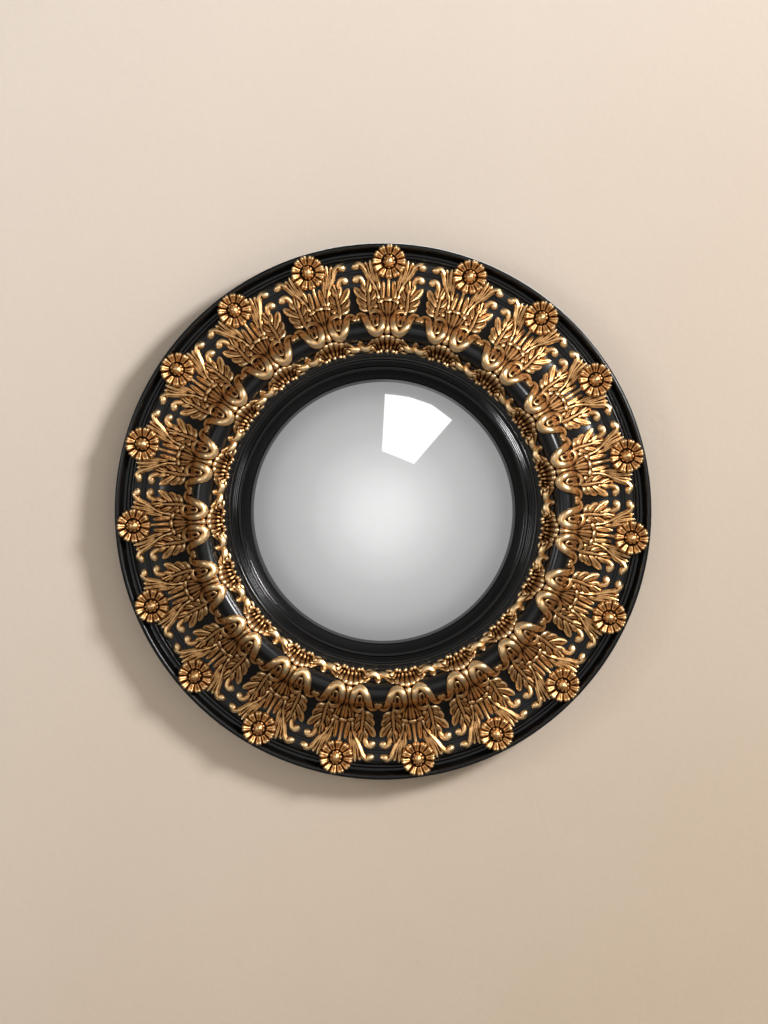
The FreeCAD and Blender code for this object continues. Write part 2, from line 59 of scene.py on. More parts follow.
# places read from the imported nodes
RIM_END = reach("outer_frame")[0]
CUSHION_END = reach("cushion_moulding")[0]
SLIP_EDGE = reach("reeded_slip")[0]
GLASS_EDGE = reach("convex_glass")[0]
BOARD_FRONT = reach("backing_board")[1]
SEAT_HEIGHT = -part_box("cushion_moulding")[1][1] / MM
RECESS_DEPTH = -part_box("backing_board")[1][1] / MM

# glass: its front and back are parts of two balls about one centre
SIGHT_RADIUS = GLASS_EDGE - 6
SIGHT_HEIGHT = 28
BOW_RADIUS = 260
BOW_CENTRE = SIGHT_HEIGHT - math.sqrt(BOW_RADIUS ** 2 - SIGHT_RADIUS ** 2)
GLASS_SHEET = 3
GLASS_SIDE_TOP = BOW_CENTRE + math.sqrt(BOW_RADIUS ** 2 - GLASS_EDGE ** 2) + 0.2
GLASS_RINGS = 50
BACK_STRIDE = 6
SILVER_FACING = 0.3

# slip: a bevel beside the glass, then reeds along its top
SLIP_TOP = 38.0
BEVEL_TOP = 104.4
INNER_REED = 106.7
FINE_REEDS = (108.3, 109.5, 110.7)
BROAD_REED = 113.5
OUTER_REED = 116.1

# cushion moulding, and the frame from its bore out to the rim
BORE = SLIP_EDGE + 0.3
CUSHION_WIDTH = 17
CUSHION_RISE = 14.0
CUSHION_MIDDLE = CUSHION_END - CUSHION_WIDTH / 2
CUSHION_STEPS = 36
CAVETTO_END = CUSHION_END + 27
CAVETTO_POINTS = 19
GROUND_HEIGHT = 13.5
SUNK_BEAD = 178.4
SMALL_BEAD = 187.7
LARGE_BEAD = 190.2
RIM_WIDTH = 7
GROUND_END = RIM_END - RIM_WIDTH
RIM_MIDDLE = 198.0
RIM_CROWN = 20.8
SIDE_GROOVE = 15.8
LAND_WIDTH = 36
SPIN_STEPS = 240

# castings: where they sit, and how their reliefs are melted into one skin
UNITS = 19
UNIT_TURN = 1.4
UNIT_PITCH = 360 / UNITS
CAST_DEPTH = -2.5
BLADE_FULLNESS = 0.73
CREST_VOXEL = 0.36
CREST_SHARE = 0.26
ROSETTE_CENTRE = RIM_END - 13.8
ROSETTE_FLOOR = 20.2
ROSETTE_DEPTH = -1.0
ROSETTE_VOXEL = 0.27
ROSETTE_SHARE = 0.34
PETALS = 12
BUD_HALF = (3.7, 4.6)
# how far each point stands out sets the castings' colour: real patina and rubbing, and also painted shade in
# hollows and painted highlight on edges
WEAR_AND_SHADE_ROUNDS = (2, 10)
WEAR_AND_SHADE_CONTRAST = 7.0

# softened front of the mouldings, which the crests follow
SEAT_START, SEAT_END, SEAT_STEP = 108.0, 206.0, 0.1
SEAT_ON_SLIP = 37.6
SEAT_BLUR, BLUR_STEPS = 1.5, 50
SLOPE_SHARE, UPRIGHT_SHARE = 0.3, 0.7
OUTWARD_LEAN = 0.25

# turn buttons, screws and ring on the back
BUTTONS = 4
BUTTON_FIRST_TURN = 45
BUTTON_PIVOT = BORE + 10
BUTTON_HALF = 5.5
BUTTON_REACH, REACH_CORNER = 20.0, 4.2
BUTTON_TAIL, TAIL_CORNER = 7.0, 3.6
BUTTON_ROUNDNESS = 0.75
BUTTON_BACK, BUTTON_FRONT = RECESS_DEPTH - 2.4, RECESS_DEPTH - 0.2
BUTTON_FACE = BUTTON_BACK - 0.2
BUTTON_SLOT_TURN, STRAP_SLOT_TURN = 0.6, 0.4
STRAP_FACE = RECESS_DEPTH - 1.5
STRAP_SCREWS = (BORE + 7.5, BORE + 16.5)
HEAD_RADIUS, HEAD_RISE = 3.4, 1.5
SHANK_RADIUS, SCREW_TIP = 1.6, RECESS_DEPTH + 11
SCREW_STEPS = 32
SLOT_LENGTH, SLOT_WIDTH, SLOT_DEPTH = 8.0, 0.9, 0.7
CUTTER_RISE = 2
RING_AXIS, RING_HEIGHT = BORE + 24, RECESS_DEPTH - 2.56
RING_HALF, RING_SIDE, RING_CORNER = 8.0, 8.0, 2.4
WIRE_RADIUS, WIRE_SIDES = 1.45, 16

# meshes: points nearer than this, in metres, are one, and edges sharper than this, in degrees, show
WELD_DISTANCE = 1e-7
SHARP_ANGLE, CAST_SHARP_ANGLE = 35, 60

# the frame and the soft box's reflection in the photograph, in its pixels
PHOTO_SIZE = (768, 1024)
FRAME_PIXELS = 533.8
FRAME_MIDDLE = (383.1, 511.4)
BOX_PIXELS = [(385, 394), (409, 397), (432, 405), (452, 420), (414, 464), (382, 451)]

# camera and set, in metres
PIXEL = 2 * RIM_END * MM / FRAME_PIXELS
CAMERA_DISTANCE = 3.2
SENSOR_HEIGHT = 36.0
VIEW_END = 50.0
FLOOR_DEPTH, FLOOR_HALF = 1.35, 4
WALL_HOLE, WALL_REACH = 0.192, 3.5
WALL_GAP = 0.0006
WALL_STEPS = 96
BOX_DISTANCE = 1.5
# glow of the soft box panel, which is no lamp and is seen only as a painted reflection in gloss
REFLECTION_GLOW = 1.25

# lamps, aimed at the mirror: name, place, size, power, colour
LAMPS = (("key", (2.1, -1.65, 1.2), 0.7, 104.0, (1.0, 0.995, 1.0)),
         ("fill", (-2.6, -1.9, 0.5), 0.9, 16.0, (1, 1, 1)),
         ("back", (0.4, 2.2, 1.2), 1.6, 35.0, (1, 1, 1)))
ROOM_COLOUR, ROOM_STRENGTH = (0.90, 0.83, 0.71, 1), 0.56
BACKDROP_COLOUR = (0.78, 0.76, 0.73, 1)
ROOM_SEEN = ((0.0, 0.10), (0.60, 0.20), (0.74, 0.36), (0.80, 0.48), (0.90, 0.60), (0.96, 0.75), (1.0, 0.93))


# ---------------------------------------------------------------- meshes

def make_mesh(name, points, faces, weld=True):
    """Mesh with outward faces from millimetre points (x, height, up the wall)."""
    mesh = bpy.data.meshes.new(name)
    mesh.from_pydata((np.asarray(points, dtype=float) * (MM, -MM, MM)).tolist(), [], faces)
    work = bmesh.new()
    work.from_mesh(mesh)
    if weld:
        bmesh.ops.remove_doubles(work, verts=work.verts, dist=WELD_DISTANCE)
    bmesh.ops.recalc_face_normals(work, faces=work.faces)
    work.to_mesh(mesh)
    work.free()
    return mesh


def add_object(name, data):
    """Object in the scene that holds a mesh, lamp or camera."""
    made = bpy.data.objects.new(name, data)
    bpy.context.scene.collection.objects.link(made)
    return made


def make_object(name, points, faces, body):
    """Mesh object from millimetre points, riding on a body if one is named."""
    mesh = make_mesh(name, points, faces)
    piece = add_object(name, mesh)
    smooth(mesh, SHARP_ANGLE)
    if body:
        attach(piece, body)
    return piece


def smooth(mesh, sharp_angle):
    """Smooth shading, but for edges that turn by more than an angle in degrees."""
    mesh.polygons.foreach_set("use_smooth", [True] * len(mesh.polygons))
    mesh.set_sharp_from_angle(angle=math.radians(sharp_angle))
    mesh.update()


def circle(radius, height, steps, middle=(0, 0)):
    """Ring of points parallel to the wall, about a middle given as (across, up)."""
    turns = np.arange(steps) * 2 * math.pi / steps
    return np.column_stack([middle[0] + radius * np.sin(turns), np.full(steps, height),
                            middle[1] + radius * np.cos(turns)])


def band(first, second, steps):
    """Faces between two rings of points, which start at those numbers."""
    sides = [(step, (step + 1) % steps) for step in range(steps)]
    return [(first + step, first + beside, second + beside, second + step) for step, beside in sides]


def turned(name, section):
    """Closed ring, or a closed disc where the section starts and ends on the axis."""
    rings = [circle(radius, height, SPIN_STEPS) for radius, height in section]
    faces = []
    for row in range(len(section)):
        after = (row + 1) % len(section)
        if section[row][0] or section[after][0]:
            faces += band(row * SPIN_STEPS, after * SPIN_STEPS, SPIN_STEPS)
    return make_object(name, np.vstack(rings), faces, "mirror")


def loft(name, rings, body):
    """Closed solid through rings of as many points, with flat ends."""
    count = len(rings[0])
    last = (len(rings) - 1) * count
    faces = [tuple(range(count)), tuple(range(last, last + count))]
    for row in range(len(rings) - 1):
        faces += band(row * count, (row + 1) * count, count)
    return make_object(name, np.vstack(rings), faces, body)


def arc(across, up, half_width, rise, start=180, end=0, steps=6):
    """Points of an elliptic arc about (across, up), by angles in degrees."""
    angles = np.radians(np.linspace(start, end, steps + 1))
    return [(across + half_width * math.cos(a), up + rise * math.sin(a)) for a in angles]


# ---------------------------------------------------------------- the turned mouldings

def cavetto(radius):
    """Height of the hollow slope outside the cushion."""
    left = np.clip((CAVETTO_END - radius) / (CAVETTO_END - CUSHION_END), 0, 1)
    return GROUND_HEIGHT + (SEAT_HEIGHT - GROUND_HEIGHT) * left ** 1.5


def cushion_section():
    """Half-oval section of the cushion moulding, with its flat foot."""
    return arc(CUSHION_MIDDLE, SEAT_HEIGHT, CUSHION_WIDTH / 2, CUSHION_RISE, steps=CUSHION_STEPS)


def slip_section():
    """Section of the slip: lip, bevel, and fine reeds on its top."""
    top = SLIP_TOP
    points = [(SIGHT_RADIUS, SIGHT_HEIGHT + 0.25), (SIGHT_RADIUS, SIGHT_HEIGHT + 1.2)]
    points += [(SIGHT_RADIUS + 0.5, SIGHT_HEIGHT + 1.9)]
    points += [(BEVEL_TOP, top - 0.5), (BEVEL_TOP + 0.5, top - 0.1), (BEVEL_TOP + 1.0, top - 0.5)]
    points += [(INNER_REED - 0.8, top - 0.5)]
    points += arc(INNER_REED, top - 0.4, 0.8, 1.1, steps=8)
    points += [(INNER_REED + 0.9, top - 0.5)]
    for middle in FINE_REEDS:
        points += arc(middle, top - 0.1, 0.56, 1.0, steps=6)
    points += [(FINE_REEDS[-1] + 0.8, top - 0.6), (BROAD_REED - 1.4, top - 0.6)]
    points += arc(BROAD_REED, top - 0.5, 1.35, 1.6, steps=10)
    points += [(BROAD_REED + 1.5, top - 0.9), (OUTER_REED - 0.7, top - 0.9)]
    points += arc(OUTER_REED, top - 0.4, 0.6, 0.6, steps=5)
    points += [(OUTER_REED + 0.9, top - 0.7), (SLIP_EDGE - 0.2, top - 0.7), (SLIP_EDGE, top - 1.0)]
    points += [(SLIP_EDGE, BOARD_FRONT), (GLASS_EDGE + 0.3, BOARD_FRONT)]
    points += [(GLASS_EDGE + 0.3, GLASS_SIDE_TOP)]
    return points


def frame_section():
    """Section of the outer frame: channel, cushion's seat, cavetto, ground, beads, rim and back."""
    ground = GROUND_HEIGHT
    points = [(BORE, RECESS_DEPTH), (BORE, SEAT_HEIGHT - 0.3), (BORE + 0.3, SEAT_HEIGHT)]
    points += [(CUSHION_END, SEAT_HEIGHT)]
    slope = np.linspace(CUSHION_END, CAVETTO_END, CAVETTO_POINTS)[1:]
    points += [(radius, float(cavetto(radius))) for radius in slope]
    points += [(SUNK_BEAD - 2.7, ground), (SUNK_BEAD - 2.3, ground - 0.9), (SUNK_BEAD - 0.9, ground - 1.1)]
    points += arc(SUNK_BEAD, ground - 1.1, 0.6, 0.9, steps=5)
    points += [(SUNK_BEAD + 0.9, ground - 1.1), (SUNK_BEAD + 1.9, ground - 0.9), (SUNK_BEAD + 2.3, ground)]
    points += [(SMALL_BEAD - 1.0, ground)]
    points += arc(SMALL_BEAD, ground - 0.1, 0.8, 1.0, steps=6)
    points += arc(LARGE_BEAD, ground - 0.2, 1.4, 1.8, steps=10)
    points += [(LARGE_BEAD + 1.7, ground - 0.9), (GROUND_END, ground - 0.9)]
    hollow = RIM_CROWN - 3.4
    points += arc(GROUND_END, hollow, 1.9, hollow - ground + 0.4, start=-90, end=-20, steps=7)
    points += arc(RIM_MIDDLE, RIM_CROWN - 3.0, RIM_END - RIM_MIDDLE, 3.0, start=178, end=0, steps=14)
    points += [(RIM_END, SIDE_GROOVE + 0.7), (RIM_END - 0.35, SIDE_GROOVE + 0.3)]
    points += [(RIM_END - 0.35, SIDE_GROOVE - 0.3), (RIM_END, SIDE_GROOVE - 0.7)]
    points += [(RIM_END, RECESS_DEPTH)]
    return points


def land_section():
    """Section of the ring behind the frame, which lies on the wall."""
    recess_edge = RIM_END - LAND_WIDTH
    return [(RIM_END, RECESS_DEPTH), (RIM_END - 0.25, RECESS_DEPTH - 0.3), (RIM_END, RECESS_DEPTH - 0.6),
            (RIM_END, 0.8), (RIM_END - 0.8, 0), (recess_edge + 0.6, 0), (recess_edge, 0.6),
            (recess_edge, RECESS_DEPTH)]


def glass_section():
    """Bowed glass: its front and back balls about one centre, and a ground edge."""
    def bow(ball, radius):
        return BOW_CENTRE + math.sqrt(ball ** 2 - radius ** 2)
    radii = np.linspace(0, GLASS_EDGE, GLASS_RINGS)
    front = [(float(radius), bow(BOW_RADIUS, radius)) for radius in radii]
    back = [(float(radius), bow(BOW_RADIUS - GLASS_SHEET, radius)) for radius in radii[::-BACK_STRIDE]]
    return front + back + [(0.0, bow(BOW_RADIUS - GLASS_SHEET, 0))]


# ---------------------------------------------------------------- the castings

class Casting:
    """Gathers closed reliefs, given as (across, radius, lift) points, into one cast shape."""

    def __init__(self):
        self.points, self.faces, self.count = [], [], 0

    def relief(self, rows, columns, shape, mirrored=False, low=CAST_DEPTH):
        """Closed patch over a grid: shape(along, beside), both 0 to 1, gives the front's points."""
        along, beside = np.meshgrid(np.linspace(0, 1, rows), np.linspace(0, 1, columns), indexing="ij")
        front = np.stack(np.broadcast_arrays(*shape(along, beside)), axis=-1).reshape(-1, 3)
        back = front.copy()
        back[:, 2] = low
        number = np.arange(rows * columns).reshape(rows, columns)
        corners = [number[:-1, :-1], number[1:, :-1], number[1:, 1:], number[:-1, 1:]]
        quads = np.stack(corners, axis=-1).reshape(-1, 4)
        border = np.concatenate([number[0, :-1], number[:-1, -1], number[-1, :0:-1], number[:0:-1, 0]])
        after = np.roll(border, -1)
        size = rows * columns
        walls = np.stack([border, after, after + size, border + size], axis=-1)
        faces = np.vstack([quads, quads[:, ::-1] + size, walls])
        sides = (1, -1) if mirrored else (1,)
        for side in sides:
            points = np.vstack([front, back]) * (side, 1, 1)
            self.points.append(points)
            self.faces.append(faces + self.count)
            self.count += len(points)

    def blade(self, path, half, lift, groove=0.15, curl=0.0, root=0.6, point=3.0, mirrored=True,
              rows=18, columns=13):
        """Lobe along a path, with a groove down its middle and a lifted tip; point 1 is sharp, 3 is blunt."""
        def shape(along, beside):
            place, normal = follow(path, along)
            spread = (along + 0.05) ** 0.45 * np.sqrt(1.0 - along ** point) * half / BLADE_FULLNESS
            side = 2 * beside - 1
            profile = 1 - 0.5 * side ** 2 - groove * np.exp(-(side / 0.24) ** 2)
            top = lift * (root + (1 - root) * np.sin(math.pi * along ** 0.8)) + curl * along ** 3
            return (place[..., 0] + normal[..., 0] * spread * side,
                    place[..., 1] + normal[..., 1] * spread * side, top * profile)
        self.relief(rows, columns, shape, mirrored)

    def rod(self, path, radii, lift, mirrored=True, rows=30, columns=11, flutes=0, depth=0.0):
        """Rounded strand along a path; radii and lifts are spread evenly along it."""
        def shape(along, beside):
            place, normal = follow(path, along)
            radius = spread_evenly(radii, along) * np.clip(np.minimum(along, 1 - along) * 18, 0.02, 1) ** 0.5
            side = -np.cos(math.pi * beside)
            top = spread_evenly(lift, along) + radius * np.sqrt(np.clip(1 - side ** 2, 0, 1))
            top = top - depth * (0.5 - 0.5 * np.cos(2 * math.pi * flutes * (side + 1) / 2)) * (1 - side ** 2)
            return (place[..., 0] + normal[..., 0] * radius * side,
                    place[..., 1] + normal[..., 1] * radius * side, top)
        self.relief(rows, columns, shape, mirrored)

    def dome(self, middle, half, lift, rise, turn=0.0, carve=None, mirrored=True, grid=19, fullness=0.5,
             low=CAST_DEPTH):
        """Oval dome; carve(distance, angle) is taken off its height."""
        def shape(along, beside):
            a, b = 2 * along - 1, 2 * beside - 1
            x, y = a * np.sqrt(1 - b ** 2 / 2), b * np.sqrt(1 - a ** 2 / 2)
            distance = np.clip(np.hypot(x, y), 0, 1)
            top = lift + rise * (1 - distance ** 2) ** fullness
            if carve:
                top = top - carve(distance, np.arctan2(y, x))
            dx, dy = x * half[0], y * half[1]
            lean = math.radians(turn)
            return (middle[0] + dx * math.cos(lean) + dy * math.sin(lean),
                    middle[1] - dx * math.sin(lean) + dy * math.cos(lean), top)
        self.relief(grid, grid, shape, mirrored, low)

    def cast(self, name, place, voxel, share):
        """Mesh of all the reliefs melted into one skin, with place(points) in the row frame."""
        mesh = make_mesh(name, place(np.vstack(self.points)), np.vstack(self.faces).tolist(), weld=False)
        rough = add_object(name + "_rough", mesh)
        melt = rough.modifiers.new("melt", "REMESH")
        melt.mode, melt.voxel_size = "VOXEL", voxel * MM
        soften = rough.modifiers.new("soften", "SMOOTH")
        soften.factor, soften.iterations = 0.5, 1
        thin = rough.modifiers.new("thin", "DECIMATE")
        thin.ratio = share
        graph = bpy.context.evaluated_depsgraph_get()
        done = bpy.data.meshes.new_from_object(rough.evaluated_get(graph))
        bpy.data.objects.remove(rough)
        done.name = name
        smooth(done, CAST_SHARP_ANGLE)
        return done


def follow(path, along):
    """Smooth curve through the path's points: place and unit normal at 0 to 1 along it."""
    points = np.asarray(path, dtype=float)
    ends = np.vstack([2 * points[0] - points[1], points, 2 * points[-1] - points[-2]])
    spans = len(points) - 1
    x = np.clip(along, 0, 1) * spans
    number = np.minimum(x.astype(int), spans - 1)
    f = (x - number)[..., None]
    p0, p1, p2, p3 = (ends[number + k] for k in range(4))
    square, cube = 2 * p0 - 5 * p1 + 4 * p2 - p3, 3 * p1 - p0 - 3 * p2 + p3
    place = 0.5 * (2 * p1 + (p2 - p0) * f + square * f ** 2 + cube * f ** 3)
    way = 0.5 * ((p2 - p0) + 2 * square * f + 3 * cube * f ** 2)
    length = np.maximum(np.linalg.norm(way, axis=-1, keepdims=True), 1e-6)
    normal = np.stack([-way[..., 1], way[..., 0]], axis=-1) / length
    return place, normal


def spread_evenly(values, along):
    """Values set evenly from 0 to 1, read between them."""
    return np.interp(along, np.linspace(0, 1, len(values)), values)


class Seat:
    """Front of the mouldings, softened, which the castings follow."""

    def __init__(self):
        self.radii = np.arange(SEAT_START, SEAT_END, SEAT_STEP)
        across = np.clip(1 - ((self.radii - CUSHION_MIDDLE) / (CUSHION_WIDTH / 2)) ** 2, 0, 1)
        cushion = SEAT_HEIGHT + CUSHION_RISE * np.sqrt(across)
        heights = np.where(self.radii < CUSHION_END, np.maximum(cushion, SEAT_HEIGHT), cavetto(self.radii))
        heights = np.where(self.radii < SLIP_EDGE, SEAT_ON_SLIP, heights)
        offsets = np.arange(-BLUR_STEPS, BLUR_STEPS + 1) * SEAT_STEP
        weights = np.exp(-(offsets / SEAT_BLUR) ** 2 / 2)
        padded = np.pad(heights, BLUR_STEPS, mode="edge")
        self.heights = np.convolve(padded, weights / weights.sum(), mode="valid")
        slope = np.gradient(self.heights, self.radii)
        length = np.hypot(1, slope)
        self.out, self.up = -slope / length, 1 / length

    def place(self, points):
        """(across, radius, lift) to (x, height, up): lift leans a little out from the moulding's face."""
        across, along, lift = points.T
        radius, turn = np.hypot(across, along), np.arctan2(across, along)
        rise = SLOPE_SHARE * np.interp(radius, self.radii, self.up) + UPRIGHT_SHARE
        height = np.interp(radius, self.radii, self.heights) + lift * rise
        radius = radius + OUTWARD_LEAN * lift * np.interp(radius, self.radii, self.out)
        return np.column_stack([radius * np.sin(turn), height, radius * np.cos(turn)])


def crest_casting():
    """One acanthus crest: fan and swags below, scrolls on the cushion, leaves and tendrils above."""
    crest = Casting()
    # fan: ribs that spread from knobs at the foot and roll over an arched brow
    for rib in range(9):
        lean = math.radians(-84 + 21 * rib)
        foot = (6.8 * math.sin(lean), 117.8 + 1.0 * math.cos(lean))
        middle = (10.4 * math.sin(lean), 119.4 + 7.4 * math.cos(lean))
        top = (12.2 * math.sin(lean), 120.4 + 10.6 * math.cos(lean))
        crest.rod([top, middle, foot], [1.9, 2.15, 1.6, 0.8], [1.2, 3.4, 3.0, 1.5, 0.4], rows=26,
                  mirrored=False)
        if rib % 2 == 0:
            crest.dome(foot, (1.6, 2.0), 0.8, 2.8, mirrored=False, grid=11)
    crest.dome((0, 125.2), (9.6, 5.0), 0.2, 2.4, mirrored=False)
    # swags: the left one ends in an upturned hook, the right one in a leaf under its neighbour
    crest.rod([(-9.0, 127.0), (-11.6, 122.8), (-14.6, 120.4), (-17.6, 120.6), (-19.6, 122.8), (-20.4, 125.8)],
              [2.2, 3.1, 3.4, 3.2, 2.6, 1.5], [1.8, 2.2, 2.2, 2.1, 2.0, 1.8], mirrored=False,
              rows=44, columns=17, flutes=2, depth=0.3)
    crest.rod([(9.0, 127.0), (11.8, 123.4), (14.8, 121.0), (18.0, 119.8), (21.0, 119.6)],
              [2.2, 3.1, 3.3, 2.8, 1.4], [1.8, 2.2, 2.2, 1.9, 1.4], mirrored=False,
              rows=40, columns=17, flutes=2, depth=0.3)
    crest.blade([(8.0, 120.8), (11.4, 118.6), (15.4, 117.6)], 1.8, 2.8)
    # scrolls: a full head with a spiral eye, wrapped by one thick band that runs out to the beak
    crest.rod([(22.8, 141.6), (21.6, 144.0), (19.2, 144.4), (16.8, 142.2), (15.2, 138.8),
               (13.4, 135.6), (10.6, 132.8), (7.4, 132.2), (5.0, 134.6), (4.0, 139.0),
               (4.4, 143.6), (6.8, 147.2), (10.4, 148.0), (13.6, 145.6)],
              [1.4, 1.9, 2.1, 2.3, 2.5, 2.8, 3.1, 3.2, 2.9, 2.4, 2.0, 1.9, 1.7, 1.2],
              [1.5, 2.2, 2.6, 2.6, 2.5, 2.3, 2.0, 2.0, 2.2, 2.4, 2.7, 3.0, 3.0, 2.4], rows=130, columns=15)
    crest.dome((22.4, 142.4), (2.4, 2.3), 1.0, 3.2, grid=13)
    crest.dome((9.4, 139.2), (5.8, 7.8), 1.4, 3.0, carve=spiral_eye, grid=45)
    crest.blade([(8.2, 146.0), (7.2, 142.8), (8.0, 139.8)], 1.5, 4.8)
    crest.blade([(11.8, 145.2), (11.8, 142.0), (10.4, 139.2)], 1.5, 4.8)
    # vase-shaped stem between the heads
    crest.rod([(0, 131.2), (0, 135.0), (0, 140.5), (0, 146.0), (0, 151.0)],
              [2.6, 1.7, 0.9, 1.5, 2.4], [1.4, 2.2, 2.2, 2.0, 1.9], mirrored=False, columns=17,
              flutes=2, depth=0.4)
    # calyx: broad lobes whose tips roll over
    crest.blade([(0, 141.6), (0, 149), (0, 157.4)], 3.8, 4.6, groove=0.10, curl=1.8, columns=19,
                mirrored=False)
    crest.blade([(1.2, 142.8), (4.8, 149.8), (6.2, 156.8)], 3.1, 4.4, groove=0.14, curl=1.9, columns=17)
    crest.blade([(1.8, 142.2), (6.6, 147.8), (9.4, 152.2)], 2.6, 4.0, groove=0.14, curl=1.7)
    crest.dome((0, 157.2), (3.2, 1.8), 2.8, 2.6, mirrored=False, grid=15)
    crest.dome((5.8, 155.8), (2.8, 1.8), 2.6, 2.6, turn=26, grid=15)
    crest.dome((9.2, 151.8), (2.1, 1.9), 2.2, 2.4, turn=45, grid=13)
    # centre stalk and the leaves beside it
    crest.rod([(0, 157), (0, 166), (0, 175.5)], [1.3, 1.1, 1.1], [1.7, 1.9, 2.2], mirrored=False, columns=13)
    crest.blade([(4.2, 157.0), (4.7, 163.6), (3.9, 172.4)], 2.3, 3.8, groove=0.16, point=2.2)
    # upper tendrils: a strand that ends in a fat hook
    crest.rod([(7.0, 157.6), (8.8, 164.8), (12.4, 171.2), (16.2, 177.0), (19.4, 181.8), (23.4, 183.8),
               (27.0, 181.6)],
              [1.6, 1.9, 2.2, 2.2, 2.2, 2.2, 1.6], [1.4, 1.8, 1.9, 2.0, 2.1, 1.9, 1.3], rows=50,
              columns=15, flutes=2, depth=0.45)
    crest.dome((24.6, 182.4), (3.9, 2.8), 1.1, 3.2, turn=24, grid=15)
    # fluted leaf under the rosette, with three finger tips
    for start, middle, tip in (((6.2, 160.0), (8.4, 172.0), (11.2, 182.0)),
                               ((7.2, 162.0), (11.6, 174.6), (14.4, 187.6)),
                               ((8.6, 165.0), (14.6, 176.0), (18.0, 186.0))):
        crest.blade([start, middle, tip], 2.3, 4.2, groove=0.12, root=0.45, curl=1.2, rows=26)
    # lower tendrils
    crest.rod([(16.4, 159.6), (17.8, 165.0), (19.0, 170.2), (21.6, 173.4), (24.6, 173.2), (26.2, 170.8)],
              [1.2, 1.5, 1.9, 2.2, 2.1, 1.6], [1.4, 1.6, 1.8, 1.9, 1.7, 1.3], rows=40)
    crest.dome((24.0, 172.3), (3.5, 2.6), 1.0, 3.0, turn=28, grid=15)
    # side leaves: broad grooved lobes either side of a rib
    for start, middle, tip, half in (((14.4, 148.4), (17.8, 149.6), (21.4, 151.8), 2.1),
                                     ((14.4, 151.4), (18.8, 153.4), (23.4, 157.8), 2.45),
                                     ((14.6, 155.4), (19.8, 159.6), (25.8, 166.4), 2.75),
                                     ((15.2, 161.0), (18.1, 165.2), (19.4, 170.8), 2.1),
                                     ((13.8, 150.6), (11.2, 153.8), (9.2, 158.2), 2.1),
                                     ((14.2, 155.2), (11.5, 159.4), (9.7, 165.2), 2.35),
                                     ((14.6, 159.4), (15.0, 166.0), (13.9, 174.6), 2.75)):
        crest.blade([start, middle, tip], half, 3.8, root=0.35, curl=1.6)
    crest.rod([(12.6, 146.6), (14.0, 151.4), (14.5, 158.0), (15.0, 166.0)],
              [1.5, 1.2, 1.0, 0.4], [2.2, 2.8, 3.2, 3.3])
    return crest


def spiral_eye(distance, angle):
    """Depth cut from a scroll's head: a groove that winds in to a deep eye."""
    wound = np.mod(angle - math.radians(20), 2 * math.pi) / (2 * math.pi)
    groove = 0.80 - 0.42 * wound
    return 1.7 * np.exp(-((distance - groove) / 0.085) ** 2) + 3.2 * np.exp(-(distance / 0.24) ** 2)


def rosette_casting():
    """One rosette: twelve petals of two rolled lobes each, a sunken ring that the bronze's painted shade
    darkens, and a studded bud.
    """
    rosette = Casting()
    half_turn = math.pi / PETALS

    def add_petal(turn):
        def shape(along, beside):
            side = 2 * beside - 1
            off = (np.abs(side) - 0.42) / 0.55
            reach_out = 6.9 - np.where(off > 0, 1.3, 0.5) * off ** 2
            distance = 6.0 + reach_out * along
            lobe = 1 - np.where(off > 0, 0.66, 0.13) * off ** 2
            roll = np.sqrt(np.clip(1 - np.clip((along - 0.60) / 0.40, 0, 1) ** 2.2, 0, 1))
            top = (1.6 + 4.1 * along ** 1.2) * roll * lobe
            lean = turn + side * half_turn * (0.90 + 0.06 * along)
            return distance * np.sin(lean), ROSETTE_CENTRE + distance * np.cos(lean), top
        rosette.relief(20, 17, shape, low=ROSETTE_DEPTH)

    for petal in range(PETALS):
        add_petal(2 * half_turn * petal)
    middle = (0, ROSETTE_CENTRE)
    rosette.dome(middle, (9.0, 9.0), -0.4, 0.9, mirrored=False, low=ROSETTE_DEPTH, fullness=0.3)
    rosette.dome(middle, BUD_HALF, 1.6, 5.0, mirrored=False, grid=17, low=ROSETTE_DEPTH)
    for count, share, lift in ((1, 0.0, 5.6), (5, 0.44, 4.9), (9, 0.86, 2.9)):
        for number in range(count):
            turn = 2 * math.pi * (number + 0.5 * (count % 4)) / count
            place = (BUD_HALF[0] * share * math.sin(turn),
                     ROSETTE_CENTRE + BUD_HALF[1] * share * math.cos(turn))
            rosette.dome(place, (1.15, 1.3), lift, 1.2, mirrored=False, grid=9, low=ROSETTE_DEPTH)
    # stub under the rosette, down to just above the frame's ground
    rosette.dome(middle, (5.0, 5.0), -0.5, 0.3, mirrored=False, grid=9,
                 low=GROUND_HEIGHT - ROSETTE_FLOOR + 0.1)
    return rosette


def flat_place(points):
    """(across, radius, lift) to (x, height, up) over the rim, square to the wall."""
    across, along, lift = points.T
    return np.column_stack([across, ROSETTE_FLOOR + lift, along])


